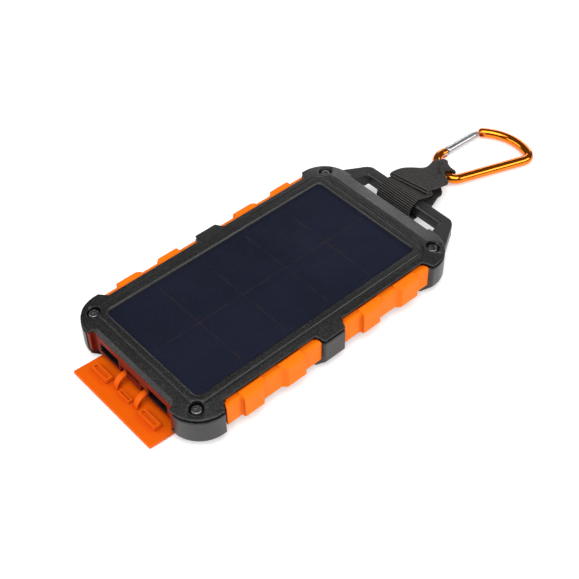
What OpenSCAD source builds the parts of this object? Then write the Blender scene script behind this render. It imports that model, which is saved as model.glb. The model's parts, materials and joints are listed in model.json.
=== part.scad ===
// Rugged solar phone charger with a port flap, lanyard strap and carabiner.
// Millimetres, +Z up. X is the width, -Y the end with the ports, +Y the end
// with the lanyard loop. The origin is the middle of the flat underside.

/* [Case] */
// Overall width of the case across its corner bumpers
body_w = 89; // [88.6:0.1:89.4]
// Overall length of the case without the lanyard loop
body_l = 154.8; // [154.4:0.1:155.2]
// Overall height of the case
body_h = 20.5; // [20.4:0.1:20.8]
// Plan radius of the four corner bumpers
corner_r = 15; // [14.8:0.1:15.2]
// Width of the sloping chamfer round the underside
under_chamfer = 5.1; // [4.6:0.1:5.4]
// Height of the bottom shell's rim
shell_rim_z = 16.6; // [16.5:0.1:16.7]
// Thickness of the bottom shell's floor
floor_t = 2.2; // [1.8:0.1:2.3]
// Height at which the top cover's full outline starts, above the parting groove
cover_edge_z = 18.3; // [18.2:0.1:18.4]
// Depth of the parting groove behind the outer walls
groove_d = 1; // [0.7:0.1:1.3]

/* [Solar panel] */
// Width of the window at the top of its bevel
window_w = 65; // [64.6:0.1:65.4]
// Length of the window at the top of its bevel
window_l = 127.4; // [127:0.1:127.8]
// Distance of the window's middle from the case's middle, towards the ports
window_y = -2.1; // [-2.3:0.1:-1.9]
// Number of rows of solar cells
cell_rows = 5; // [4:1:6]
// Number of columns of solar cells
cell_cols = 2; // [1:1:3]
// Gap between solar cells
cell_gap = 0.8; // [0.5:0.1:1.2]

/* [Grip bands] */
// Half width across the plain part of the grip bands
band_x = 43; // [42.6:0.1:43.2]
// Half width across the raised grip blocks
block_x = 44.8; // [44.4:0.1:45]
// Length of the outer face of each grip block
block_l = 10; // [9:0.5:10.5]

/* [Ports] */
// Height of the middle of the ports above the underside
port_z = 10.9; // [10.8:0.1:11]
// Distance of each wide port from the middle one
port_pitch = 17; // [16.8:0.1:17.2]
// Sideways place of the middle port
port_x = -0.5; // [-0.6:0.1:0]
// Width of the port flap
flap_w = 55; // [54:0.2:55]
// Length of the port flap's plate
flap_l = 15.3; // [15:0.1:15.4]
// Thickness of the port flap's plate
flap_t = 1.55; // [1.4:0.05:1.55]
// Angle at which the open flap rises outwards
flap_rise = 4; // [3:0.5:4]

/* [Lanyard] */
// Distance of the loop's outer edge from the case's middle
loop_y = 92.8; // [92.6:0.1:93]
// Depth of the loop's bar
loop_bar = 6.1; // [5.9:0.1:6.1]
// Underside of the loop
loop_z0 = 8.4; // [8.3:0.1:8.4]
// Top of the loop
loop_z1 = 15.2; // [15.2:0.1:15.3]
// Width of the strap at the loop
strap_w = 21.5; // [20:0.5:22]
// Thickness of the strap's webbing
strap_t = 1.3; // [1.1:0.1:1.3]

/* [Carabiner] */
// Diameter of the carabiner's rod
rod_d = 5; // [4.8:0.1:5]
// Length of the straight spine's middle line
spine_l = 37.8; // [37:0.2:38.4]
// Turn of the carabiner about the upright axis
cara_turn = -18.5; // [-20:0.5:-17]
// Tilt of the carabiner towards its wide end
cara_tilt = -1.9; // [-2:0.1:-1.8]

/* [Hidden] */
$fn = 64;
e = 0.01;
hx = body_w / 2;
hy = body_l / 2;
// centres of the corner arcs
ccx = hx - corner_r;
ccy = hy - corner_r;
// side recesses that hold the grip bands
notch_x = 39.8;
notch_y1 = 58.2;
tab_y1 = 7.5;
flare = 2.6;
// concentric wall radii, measured from the corner arc centres
r_cav = 6.1;
r_wall = 8.1;
r_gap = 11.1;
// screws on the corner diagonals
scr = 9 * cos(45);
// panel stack heights
sheet_z = 18.5;
sheet_top = 19.1;
lip_z = 19.4;
// port face and flap hinge
face_y = -74.85;
wall_front = -(ccy + r_wall);
hinge_y = -73.03;
hinge_z = 3.8;
flap_y0 = -72.9;
flap_z0 = 1.65;
// lanyard bar
bar_y = loop_y - loop_bar / 2;
bar_z = (loop_z0 + loop_z1) / 2;
strap_x = -3.2;
// carabiner narrow end
cx0 = -0.8;
cy0 = 123;
cz0 = 4.15;
rr = rod_d / 2;
black = "#2b2b2d";
orange = "#ff6a00";

// ---------- shared outlines ----------
module rrect(w, l, r) {
    square([w - 2 * r, l], center = true);
    square([w, l - 2 * r], center = true);
    for (sx = [-1, 1], sy = [-1, 1])
        translate([sx * (w / 2 - r), sy * (l / 2 - r)]) circle(r);
}
// rounded rectangle that shares the corner arc centres
module ring2(r) { rrect(2 * (ccx + r), 2 * (ccy + r), r); }

// the two recesses on each side, with sloping ends
module side_notches(d = 0, deep = 0) {
    for (sx = [-1, 1], sy = [-1, 1])
        mirror([sx < 0 ? 1 : 0, 0]) mirror([0, sy < 0 ? 1 : 0])
            polygon([[notch_x - d - deep, tab_y1 - d], [notch_x + 0.2, tab_y1 - d],
                     [hx + 0.8, tab_y1 - 1.9 - d], [hx + 0.8, notch_y1 + flare + 0.5 + d],
                     [notch_x + 0.4, notch_y1 + d], [notch_x - d - deep, notch_y1 + d]]);
}
module outline() { difference() { ring2(corner_r); side_notches(); } }

module diag(sx, sy, r) {
    translate([sx * (ccx + r * cos(45)), sy * (ccy + r * cos(45))]) children();
}

// ---------- case ----------
module top_cover() {
    color(black) difference() {
        union() {
            // upper plate with its sloping border and softened edge
            intersection() {
                translate([0, 0, cover_edge_z]) linear_extrude(3) outline();
                hull() {
                    translate([0, 0, 17.95]) linear_extrude(0.05) rrect(2 * hx + 1.2, 2 * hy + 1.2, corner_r + 0.6, $fn = 48);
                    translate([0, 0, 18.65]) linear_extrude(0.05) rrect(2 * hx - 0.8, 2 * hy - 0.8, corner_r - 0.4, $fn = 48);
                    translate([0, 0.65, body_h - 0.02]) linear_extrude(0.02) rrect(70.6, 136.5, 5.8, $fn = 32);
                }
            }
            // recessed lower plate behind the parting groove
            translate([0, 0, shell_rim_z]) linear_extrude(cover_edge_z - shell_rim_z + e) difference() {
                ring2(corner_r - groove_d);
                side_notches(groove_d);
            }
            // corner pads that the screws clamp
            difference() {
                for (sx = [-1, 1], sy = [-1, 1]) diag(sx, sy, 9)
                    translate([0, 0, 14.6]) cylinder(r = 4.1, h = 2.6);
                translate([0, 0, 14]) linear_extrude(shell_rim_z - 14) ring2(r_wall + 0.1);
            }
        }
        // groove that sets off the raised rim round the window
        translate([0, window_y, body_h - 0.6]) linear_extrude(1) difference() {
            rrect(window_w + 8.4, window_l + 8.4, 6.2, $fn = 32);
            rrect(window_w + 5.8, window_l + 5.8, 5, $fn = 32);
        }
        // window with its bevel, then the pocket for the panel stack
        hull() {
            translate([0, window_y, body_h]) linear_extrude(1) rrect(window_w, window_l, 3.2, $fn = 32);
            translate([0, window_y, lip_z]) linear_extrude(0.1) rrect(window_w - 2, window_l - 2, 2.4, $fn = 32);
        }
        translate([0, window_y, 18]) linear_extrude(3) rrect(window_w - 2, window_l - 2, 2.4);
        translate([0, window_y, 16]) linear_extrude(lip_z - 16) rrect(window_w + 1.8, window_l + 1.8, 2.6);
        // screw wells, each with a shallow channel to the outside, and clearance holes
        for (sx = [-1, 1], sy = [-1, 1]) diag(sx, sy, 9) {
            translate([0, 0, 17]) cylinder(r = 3.2, h = 5);
            translate([0, 0, 18.8]) rotate([0, 0, atan2(sy, sx)]) translate([0, -3.2, 0]) cube([12, 6.4, 3]);
            translate([0, 0, 14]) cylinder(r = 1.5, h = 4);
        }
        // port recess: a sloping lip over the ports
        hull() {
            translate([0, 0, 20.6]) linear_extrude(0.1)
                polygon([[-24.6, -72.2], [24.6, -72.2], [28.2, -76], [28.2, -79], [-28.2, -79], [-28.2, -76]]);
            translate([0, 0, 17.5]) linear_extrude(0.1)
                polygon([[-27.8, -75.0], [27.8, -75.0], [28.2, -79], [-28.2, -79]]);
        }
        // room for the port frame under the lip
        translate([-30.4, -79, 16]) cube([60.8, 79 - 70.45, 17.6 - 16]);
        // shallow relief along the loop end
        hull() {
            translate([0, hy + 1, 19.9]) cube([52, 5, 3], center = true);
            translate([0, hy + 1, 17]) cube([50, 5, 3], center = true);
        }
    }
}

// recess for the whole port end of the bottom shell
module port_room() {
    translate([-30.4, -79, 6.5]) cube([60.8, 79 + wall_front, 14]);
}

module bottom_shell() {
    color(black) difference() {
        union() {
            // walls and bumpers, chamfered inwards below
            difference() {
                intersection() {
                    linear_extrude(shell_rim_z) ring2(corner_r);
                    hull() {
                        linear_extrude(0.05) rrect(2 * (hx - under_chamfer), 2 * (hy - under_chamfer), corner_r - under_chamfer, $fn = 48);
                        translate([0, 0, under_chamfer + 1]) linear_extrude(20) rrect(2 * hx + 2, 2 * hy + 2, corner_r + 1, $fn = 48);
                    }
                }
                // side recesses for the bands, and the slope under them
                translate([0, 0, 6]) linear_extrude(12) side_notches(0);
                intersection() {
                    translate([0, 0, -1]) linear_extrude(7.01) side_notches(0, 8);
                    for (sx = [-1, 1]) mirror([sx < 0 ? 1 : 0, 0, 0])
                        translate([0, 70, 0]) rotate([90, 0, 0]) linear_extrude(140)
                            polygon([[41.2, 6.02], [60, 6.02], [60, -2], [33.2, -2]]);
                }
                // channel between the inner wall and the bumpers
                translate([0, 0, 6]) linear_extrude(12) difference() {
                    intersection() {
                        ring2(r_gap - 0.3);
                        square([2 * hx + 2, 129.4], center = true);
                    }
                    ring2(r_wall);
                    square([60, 200], center = true);
                }
                // cavity
                translate([0, 0, floor_t]) linear_extrude(18) ring2(r_cav);
                port_room();
                // slope under the port frame, clear of the flap
                translate([-28.2, 0, 0]) rotate([90, 0, 90]) linear_extrude(56.4)
                    polygon([[-90, 6.6], [-71.0, 6.6], [-71.0, 4.4], [-66.5, -0.1], [-90, -0.1]]);
                // seal groove
                translate([0, 0, shell_rim_z - 0.6]) linear_extrude(1) difference() {
                    ring2(r_cav + 1.5);
                    ring2(r_cav + 0.5);
                }
            }
            // screw bosses
            for (sx = [-1, 1], sy = [-1, 1]) diag(sx, sy, 9)
                translate([0, 0, 5]) cylinder(r = 4.9, h = 9.6);
            // posts for the circuit board
            for (sx = [-1, 1], y = [-61, -41]) translate([sx * 27.5, y, floor_t - e]) cylinder(r = 2.6, h = 6.45 - floor_t + e);
            // rim round the torch
            translate([0, -51, floor_t - e]) difference() { cylinder(r = 6.6, h = 1.4); translate([0, 0, -1]) cylinder(r = 5.4, h = 4); }
            // lanyard loop
            lanyard_loop();
        }
        // pockets for the cover's corner pads, screw bores
        difference() {
            for (sx = [-1, 1], sy = [-1, 1]) diag(sx, sy, 9) translate([0, 0, 14.6]) cylinder(r = 4.2, h = 6);
            translate([0, 0, 14]) linear_extrude(8) ring2(r_wall);
        }
        for (sx = [-1, 1], sy = [-1, 1]) diag(sx, sy, 9) {
            translate([0, 0, 7.6]) cylinder(r = 2.05, h = 6.5);
            translate([0, 0, 14]) cylinder(r = 1.32, h = 4);
        }
        // shell stays clear of the cover's cut at the screw notches
        for (sx = [-1, 1], y = [-61, -41]) translate([sx * 27.5, y, floor_t]) cylinder(r = 0.8, h = 6);
        // port tunnels through the inner wall
        for (i = [-1, 1]) translate([port_x + i * port_pitch - 6.75, -73, port_z - 3.05]) cube([13.5, 6, 6.1]);
        translate([port_x - 4.7, -73, port_z - 1.9]) cube([9.4, 6, 3.8]);
        // pockets behind the flap's tethers
        for (i = [-1, 1]) translate([port_x + i * 7.2 - 2, -73, 5]) cube([4, 2.4 + e, 6.2]);
        // torch opening
        translate([0, -51, -1]) cylinder(r = 5.2, h = 6);
        // power button hole, stem hole and light pipe holes on the left tab
        translate([-hx - 1, -4.25, 7.0]) cube([4.2, 8.5, 4.9]);
        translate([-hx, 0, 9.45]) rotate([0, 90, 0]) cylinder(r = 1.8, h = 12);
        for (y = [-4.2, -1.4, 1.4, 4.2]) translate([-hx - 1, y, 14.1]) rotate([0, 90, 0]) cylinder(r = 0.78, h = 14);
    }
}

// closed loop for the strap behind the case
module lanyard_loop() {
    bevel = 0.9;
    difference() {
        intersection() {
            translate([0, 0, loop_z0]) linear_extrude(loop_z1 - loop_z0) difference() {
                union() {
                    polygon([[-38, 74.9], [-29.6, 88.8], [-22.8, loop_y - 8], [22.8, loop_y - 8], [29.6, 88.8], [38, 74.9]]);
                    translate([-22.8, 83]) square([45.6, loop_y - 83]);
                    for (s = [-1, 1]) translate([s * 22.8, loop_y - 8]) circle(8);
                    translate([-30, 73]) square([60, 13]);
                }
            }
            // soft long edges along the bar
            translate([-50, 0, 0]) rotate([90, 0, 90]) linear_extrude(100)
                polygon([[70, loop_z0], [loop_y - bevel, loop_z0], [loop_y, loop_z0 + bevel], [loop_y, loop_z1 - bevel], [loop_y - bevel, loop_z1], [70, loop_z1]]);
        }
        // slot with sloping ends and softened bar edges
        translate([0, 0, loop_z0 - 1]) linear_extrude(12)
            polygon([[-26.4, 76.9], [26.4, 76.9], [23.6, loop_y - loop_bar], [-23.6, loop_y - loop_bar]]);
        for (z = [loop_z0, loop_z1]) translate([0, loop_y - loop_bar, z]) rotate([45, 0, 0])
            cube([2 * 24.4, bevel * 1.414, bevel * 1.414], center = true);
    }
}

// cross-section of a plain band, from the inner wall outwards
module band_section(xo, zt, zb, r) {
    difference() {
        union() {
            translate([40.2, zb]) square([xo - 40.2, zt - r - zb]);
            translate([40.2, zb]) square([xo - r - 40.2, zt - zb]);
            translate([xo - r, zt - r]) circle(r);
        }
        translate([xo - 0.8, zb - 0.01]) polygon([[0, 0], [1, 0], [1, 1]]);
    }
}
module band_right() {
    difference() {
        union() {
            // run behind the bumpers and the tab
            translate([0, 0, 6]) linear_extrude(10.6) intersection() {
                difference() { ring2(r_gap - 0.35); ring2(r_wall + 0.02); }
                translate([30, -63]) square([20, 126]);
            }
            // exposed lengths
            for (s = [-1, 1]) {
                intersection() {
                    translate([0, s * (notch_y1 + tab_y1) / 2 + 40, 0]) rotate([90, 0, 0]) linear_extrude(80) band_section(band_x, 18.1, 6.0, 1.4);
                    mirror([0, s < 0 ? 1 : 0, 0]) linear_extrude(30)
                        polygon([[40.15, tab_y1 + 0.05], [band_x + 1, tab_y1 - 1.15], [band_x + 1, notch_y1 + 1.45], [40.15, notch_y1 - 0.1]]);
                }
                // inner lip under the cover's edge
                mirror([0, s < 0 ? 1 : 0, 0]) translate([ccx + r_wall + 0.02, tab_y1 + 0.05, 6]) cube([40.21 - ccx - r_wall - 0.02, notch_y1 - tab_y1 - 0.1, 10.6]);
                mirror([0, s < 0 ? 1 : 0, 0]) translate([notch_x - groove_d + 0.05, tab_y1 + groove_d + 0.05, 16.5]) cube([1.46, notch_y1 - tab_y1 - 2 * groove_d - 0.1, 1.6]);
            }
            // raised grip blocks, in facing pairs
            for (s = [-1, 1]) for (b = [[s * 28.9 - 4.5, 1], [s * 28.9 + 4.5, -1]])
                grip_block(b[0] + s * 5 + (s < 0 ? 0 : 0), b[1]);
        }
    }
}
// one block: y is the middle of its pair's gap, dir the side its outer face lies on
module grip_block(y, dir) {
    intersection() {
        translate([0, y + 30, 0]) rotate([90, 0, 0]) linear_extrude(60) band_section(block_x, 18.75, 6.0, 1.8);
        translate([0, y, 0]) mirror([0, dir > 0 ? 1 : 0, 0]) linear_extrude(30)
            polygon([[40.18, 0], [band_x - 0.6, 0], [block_x, 2.4], [block_x + 1, 2.4], [block_x + 1, 2.4 + block_l], [40.18, 2.4 + block_l]]);
    }
}
module grip_band_right() { color(orange) band_right(); }
module grip_band_left() {
    color(orange) difference() {
        mirror([1, 0, 0]) band_right();
        translate([-hx, 0, 9.45]) rotate([0, 90, 0]) cylinder(r = 2.1, h = 12);
        for (y = [-4.2, -1.4, 1.4, 4.2]) translate([-hx - 1, y, 14.1]) rotate([0, 90, 0]) cylinder(r = 0.78, h = 14);
    }
}

// moulded frame round the ports, with cheeks at both ends of the recess
module port_frame() {
    color(orange) difference() {
        union() {
            translate([-30.3, face_y, 6.6]) cube([60.6, wall_front - face_y - 0.05, 10.9]);
            for (s = [-1, 1]) mirror([s < 0 ? 1 : 0, 0, 0])
                translate([0, 0, 6.6]) linear_extrude(10.9)
                    polygon([[27.9, face_y + 0.1], [27.9, -76.9], [30.3, -76.9], [30.3, face_y + 0.1]]);
        }
        for (i = [-1, 1]) translate([port_x + i * port_pitch - 6.65, -80, port_z - 2.95]) cube([13.3, 12, 5.9]);
        translate([port_x - 4.6, -80, port_z - 1.8]) cube([9.2, 12, 3.6]);
        for (i = [-1, 1]) translate([port_x + i * 7.2 - 2, -80, 6]) cube([4, 80 - 71.5, 5.1]);
    }
}

// rotates a shape that is drawn on the flat open flap into place
module on_flap() { translate([0, flap_y0, flap_z0]) rotate([-flap_rise, 0, 0]) mirror([0, 1, 0]) children(); }

module boss_ring(x, w, h, t, y, wall) {
    translate([x - w / 2, y - h / 2, -e]) difference() {
        union() {
            cube([w, h, t * 0.6]);
            translate([0.2, 0.2, 0]) cube([w - 0.4, h - 0.4, t]);
        }
        translate([wall, wall, t - 0.8]) cube([w - 2 * wall, h - 2 * wall, 2]);
    }
}
module port_flap() {
    by = port_z - hinge_z;
    color(orange) difference() {
        union() {
            on_flap() {
                translate([-flap_w / 2, 0, -flap_t]) cube([flap_w, flap_l, flap_t]);
                for (i = [-1, 1]) boss_ring(port_x + i * port_pitch, 11.8, 4.0, 2.4, by, 1.2);
                boss_ring(port_x, 8.1, 2.7, 1.5, by, 0.9);
            }
        }
        // finger hollow under the outer edge
        on_flap() translate([0, flap_l + 4.6, -flap_t - 3.2]) rotate([0, 90, 0]) translate([0, 0, -7]) cylinder(r = 5.6, h = 14);
    }
}
// two short tethers whose roots carry the hinge line
module flap_tethers() {
    color(orange) for (i = [-1, 1]) translate([port_x + i * 7.2 - 1.65, 0, 0]) rotate([90, 0, 90]) linear_extrude(3.3)
        difference() {
            union() {
                translate([hinge_y, hinge_z]) circle(1.4);
                polygon([[hinge_y - 1.4, hinge_z], [hinge_y + 0.1, hinge_z], [hinge_y + 0.1, flap_z0 + 0.3],
                         [-75.4, flap_z0 + 0.2 + 0.01], [-75.4, flap_z0 + 0.5]]);
            }
            // foot follows the flap's face
            translate([flap_y0, flap_z0]) rotate(-flap_rise) translate([-20, -5]) square([30, 5.01]);
        }
}

module seal_gasket() {
    color("#3a3a3a") translate([0, 0, shell_rim_z - 0.6]) linear_extrude(0.6) difference() {
        ring2(r_cav + 1.47);
        ring2(r_cav + 0.53);
    }
}

// ---------- solar panel ----------
pw = window_w + 1.4;
pl = window_l + 1.4;
module panel_cover_sheet() { color([0.1, 0.11, 0.17]) translate([0, window_y, sheet_z]) linear_extrude(sheet_top - sheet_z) rrect(pw, pl, 2.4); }
module panel_adhesive() {
    color("#1d1d1f") translate([0, window_y, sheet_top]) linear_extrude(lip_z - sheet_top) difference() {
        rrect(pw, pl, 2.4);
        rrect(window_w - 1.6, window_l - 1.6, 2.4);
    }
}
module solar_cells() {
    aw = 58.4;
    al = 123.6;
    cw = (aw - (cell_cols - 1) * cell_gap) / cell_cols;
    cl = (al - (cell_rows - 1) * cell_gap) / cell_rows;
    color([0.09, 0.1, 0.2]) for (i = [0:cell_cols - 1], j = [0:cell_rows - 1])
        translate([-aw / 2 + i * (cw + cell_gap), window_y + 0.5 - al / 2 + j * (cl + cell_gap), sheet_z - 0.3]) cube([cw, cl, 0.3]);
}
module panel_backing() { color("#1b2b1f") translate([0, window_y, 17.0]) linear_extrude(sheet_z - 0.3 - 17.0) rrect(pw, pl, 2.4); }

// ---------- fasteners ----------
module case_screws() {
    color("#1c1c1e") for (sx = [-1, 1], sy = [-1, 1]) diag(sx, sy, 9) difference() {
        union() {
            translate([0, 0, 8.4]) cylinder(r = 1.2, h = 8.7);
            translate([0, 0, 17]) cylinder(r = 2.6, h = 1.3);
            translate([0, 0, 18.29]) cylinder(r1 = 2.6, r2 = 2.0, h = 0.6);
        }
        // six-lobed drive
        translate([0, 0, 17.7]) cylinder(r = 0.95, h = 2);
        for (a = [0:60:300]) rotate([0, 0, a]) translate([0.95, 0, 17.7]) cylinder(r = 0.36, h = 2, $fn = 24);
    }
}
module screw_inserts() {
    color("#b8923c") for (sx = [-1, 1], sy = [-1, 1]) diag(sx, sy, 9) translate([0, 0, 8.6]) difference() {
        cylinder(r = 2.04, h = 5);
        translate([0, 0, -1]) cylinder(r = 1.24, h = 8);
    }
}
module board_screws() {
    color("#9a9a9a") for (sx = [-1, 1], y = [-61, -41]) translate([sx * 27.5, y, 0]) {
        translate([0, 0, 3.4]) cylinder(r = 0.78, h = 4.7);
        translate([0, 0, 8.02]) cylinder(r = 1.8, h = 1.2);
    }
}

// ---------- battery ----------
module pouch(z, h) {
    translate([0, 15, z]) {
        translate([-30, -47, 0]) cube([60, 92, h]);
        translate([-29, -47.6, h / 2 - 0.15]) cube([58, 0.7, 0.3]);
    }
}
module battery_cell_lower() { color("#9aa0a6") pouch(floor_t + 0.1, 5.5); }
module battery_cell_upper() { color("#8f959b") pouch(floor_t + 5.8, 5.5); }
module battery_foam() { color("#5b5b60") translate([-28, -28, floor_t + 11.35]) cube([56, 84, 1.6]); }
module protection_board() { color("#1f5b3a") translate([-20, -37.3, 8.7]) cube([40, 4.4, 1.0]); }
module battery_leads() {
    for (i = [-1, 1]) color(i < 0 ? "#c02020" : "#202020") translate([i * 5 - 14, 0, 0]) {
        translate([0, -36, 10.35]) rotate([90, 0, 0]) cylinder(r = 0.6, h = 6.5, $fn = 24);
        translate([-0.8, -42.9, 8.02]) cube([1.6, 1.6, 2.4]);
    }
}
module solar_leads() {
    for (i = [-1, 1]) color(i < 0 ? "#c02020" : "#202020") translate([16 + i * 2, -43, 8.02]) cylinder(r = 0.6, h = 8.96, $fn = 24);
}

// ---------- electronics ----------
module main_board() {
    color("#1f5b3a") difference() {
        translate([-31, -66.8, 6.47]) cube([62, 28.2, 1.53]);
        for (sx = [-1, 1], y = [-61, -41]) translate([sx * 27.5, y, 6]) cylinder(r = 0.95, h = 3);
    }
}
module power_chips() {
    color("#18181a") { translate([-4, -56, 8.01]) cube([7, 7, 1.1]); translate([-16, -54, 8.01]) cube([5, 4, 1]); translate([6, -48, 8.01]) cube([4, 5, 1]); }
}
module inductor() { color("#3c3c40") translate([11, -57, 8.01]) cube([8, 8, 4]); }
module capacitors() { color("#c9b48a") for (p = [[-20, -46], [-16, -46], [22, -49], [22, -45], [0, -45]]) translate([p[0], p[1], 8.01]) cube([2, 1.25, 1.25]); }

module usb_a_shell(x) {
    color("#c4c6c8") translate([x, 0, port_z]) difference() {
        translate([-6.6, -74.6, -2.89]) cube([13.2, 13.6, 5.78]);
        translate([-6.25, -75, -2.55]) cube([12.5, 13.6, 5.1]);
    }
}
module usb_a_tongue(x) { color("#202024") translate([x - 5.55, -70.4, port_z + 0.1]) cube([11.1, 9.0, 1.84]); }
module usb_a_shell_left() { usb_a_shell(port_x - port_pitch); }
module usb_a_shell_right() { usb_a_shell(port_x + port_pitch); }
module usb_a_tongue_left() { usb_a_tongue(port_x - port_pitch); }
module usb_a_tongue_right() { usb_a_tongue(port_x + port_pitch); }
module usb_c_shell() {
    color("#c4c6c8") translate([port_x, 0, port_z]) {
        difference() {
            translate([0, -65.6, 0]) rotate([90, 0, 0]) linear_extrude(7.4) { square([8.94 - 3.16, 3.16], center = true); for (s = [-1, 1]) translate([s * 2.89, 0]) circle(1.58); }
            translate([0, -66.2, 0]) rotate([90, 0, 0]) linear_extrude(7.4) { square([8.34 - 2.56, 2.56], center = true); for (s = [-1, 1]) translate([s * 2.89, 0]) circle(1.28); }
        }
        for (s = [-1, 1]) translate([s * 3 - 0.5, -68, -2.88]) cube([1, 1.4, 1.4]);
    }
}
module usb_c_tongue() { color("#202024") translate([port_x - 3.35, -71.2, port_z - 0.35]) cube([6.7, 5.0, 0.7]); }

// ---------- power button and indicators, on the left tab ----------
module button_board() { color("#1f5b3a") translate([-32.2, -8, 4]) cube([1.1, 16, 12]); }
module tact_switch() {
    color("#2a2a2c") difference() {
        translate([-34.2, -3, 6.45]) cube([2, 6, 6]);
        translate([-35, 0, 9.45]) rotate([0, 90, 0]) cylinder(r = 1.45, h = 2.3);
    }
}
module switch_plunger() { color("#d8d2c0") translate([-34.9, 0, 9.45]) rotate([0, 90, 0]) cylinder(r = 1.25, h = 1.6); }
module power_button() {
    color("#343437") {
        translate([-hx - 0.35, -3.9, 7.35]) cube([1.6, 7.8, 4.2]);
        translate([-hx + 1.2, 0, 9.45]) rotate([0, 90, 0]) cylinder(r = 1.45, h = -34.91 + hx - 1.2);
    }
}
module indicator_leds() { color("#e8f0ff") for (y = [-4.2, -1.4, 1.4, 4.2]) translate([-33.0, y - 0.8, 13.5]) cube([0.79, 1.6, 1.2]); }
module light_pipes() {
    color([0.9, 0.95, 1]) {
        for (y = [-4.2, -1.4, 1.4, 4.2]) translate([-hx + 0.05, y, 14.1]) rotate([0, 90, 0]) cylinder(r = 0.75, h = 10.9);
        translate([-34.2, -5.0, 13.3]) cube([1.0, 10, 1.6]);
    }
}

// ---------- torch in the underside ----------
module torch_led() { color("#f4f0c8") translate([-1.75, -52.75, 5.3]) cube([3.5, 3.5, 1.16]); }
module torch_reflector() {
    color("#d8dade") translate([0, -51, 1.65]) difference() {
        cylinder(r1 = 5.0, r2 = 3.2, h = 3.6);
        translate([0, 0, -0.01]) cylinder(r1 = 4.6, r2 = 1.9, h = 3.0);
        translate([0, 0, 2]) cylinder(r = 1.9, h = 3);
    }
}
module torch_lens() { color([0.9, 0.95, 1, 0.5]) translate([0, -51, 0.6]) cylinder(r = 5.15, h = 1.04); }

// ---------- strap ----------
// frame of the carabiner: u across from the spine, v along the spine, at the narrow end
module cara_frame() { translate([cx0, cy0, cz0]) rotate([0, 0, cara_turn]) rotate([cara_tilt, 0, 0]) mirror([1, 0, 0]) children(); }
strap_u = 8.6;
module strap_profile(r, far) {
    // teardrop round the bar: circle plus the two tangents to a far point
    fy = far * (102.5 - bar_y);
    fz = far * (9.9 - bar_z);
    d = sqrt(fy * fy + fz * fz);
    a0 = atan2(fz, fy);
    t = acos(r / d);
    circle(r);
    polygon([[fy, fz], [r * cos(a0 + t), r * sin(a0 + t)], [0, 0], [r * cos(a0 - t), r * sin(a0 - t)]]);
}
module lanyard_strap() {
    color("#303032") {
        difference() {
            union() {
                translate([strap_x - strap_w / 2, bar_y, bar_z]) rotate([90, 0, 90]) linear_extrude(strap_w) strap_profile(5.8, 1);
                // sewn middle, narrowing towards the carabiner
                hull() {
                    translate([strap_x - strap_w / 2, 100.5, 9.1]) cube([strap_w, 0.6, 2.6]);
                    cara_frame() translate([strap_u - 5.6, -3.6, -2.6]) cube([11.2, 0.6, 5.2]);
                }
                // end loop round the carabiner's narrow end
                cara_frame() translate([strap_u - 5.2, 0, 0]) rotate([0, 90, 0]) cylinder(r = 4.0, h = 10.4);
            }
            translate([strap_x - strap_w, bar_y, bar_z]) rotate([90, 0, 90]) linear_extrude(strap_w * 2) strap_profile(4.5, 0.8);
            cara_frame() translate([strap_u - 12, 0, 0]) rotate([0, 90, 0]) cylinder(r = 2.85, h = 24);
        }
    }
}

// ---------- carabiner ----------
// lean of the gate from the spine's direction
g_lean = 17.7;
base_end = [13 + 8 * cos(g_lean), 8 - 8 * sin(g_lean)];
top_c = [5.2 - 18.8 * cos(96), 4.5 + spine_l - 18.8 * sin(96)];
g_base = [21.65, 8.9];
g_tip = [28.75, 31.2];
// middle line of the rod, as [across, along, direction, radius] from the base
// round the spine to the domed nose that the gate closes on
function arc_line(c, r, a0, a1, n, s) = [for (i = [0:n]) let (a = a0 + (a1 - a0) * i / n)
    [c[0] + r * cos(a), c[1] + r * sin(a), a + s, rr]];
nose_c = [top_c[0] + 24 * cos(27), top_c[1] + 24 * sin(27)];
rod_line = concat(
    [[base_end[0] + 2.87 * sin(g_lean), base_end[1] + 2.87 * cos(g_lean), -90 - g_lean, rr]],
    arc_line([13, 8], 8, 360 - g_lean, 270, 7, -90),
    arc_line([4.5, 4.5], 4.5, 270, 180, 7, -90),
    arc_line([5.2, 4.5 + spine_l], 5.2, 180, 96, 7, -90),
    [for (i = [1:12]) let (a = 96 - 69 * i / 12) [top_c[0] + 24 * cos(a), top_c[1] + 24 * sin(a), a - 90, rr]],
    [for (b = [25, 50, 72]) [nose_c[0] + rr * sin(b) * sin(27), nose_c[1] - rr * sin(b) * cos(27), -63, rr * cos(b)]]);
rod_sides = 16;
rod_rings = len(rod_line);
module rod_body() {
    polyhedron(
        points = [for (p = rod_line, k = [0:rod_sides - 1]) let (a = 360 * k / rod_sides)
            [p[0] - p[3] * cos(a) * sin(p[2]), p[1] + p[3] * cos(a) * cos(p[2]), p[3] * sin(a)]],
        faces = concat(
            [[for (k = [0:rod_sides - 1]) k]],
            [for (i = [0:rod_rings - 2], k = [0:rod_sides - 1], h = [0, 1]) let (k2 = (k + 1) % rod_sides, a = i * rod_sides, b = a + rod_sides)
                h == 0 ? [a + k, b + k, b + k2] : [a + k, b + k2, a + k2]],
            [[for (k = [rod_sides - 1:-1:0]) (rod_rings - 1) * rod_sides + k]]));
}
module carabiner_body() {
    color("#e07010") cara_frame() difference() {
        rod_body();
        // slot in the base for the gate's tang
        translate([g_base[0], g_base[1], 0]) rotate([0, 0, -g_lean]) translate([-4, -5, -1.05]) cube([8, 8.8, 2.1]);
        translate([g_base[0] - 0.88, g_base[1] - 2.9, -5]) cylinder(r = 0.8, h = 10);
        // notch in the nose for the gate's tip
        translate([g_tip[0], g_tip[1], 0]) rotate([0, 0, -g_lean]) translate([-4, -1.2, -0.95]) cube([8, 3.2, 1.9]);
    }
}
module gate_frame() { translate([g_base[0], g_base[1], 0]) rotate([0, 0, -g_lean]) children(); }
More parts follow.
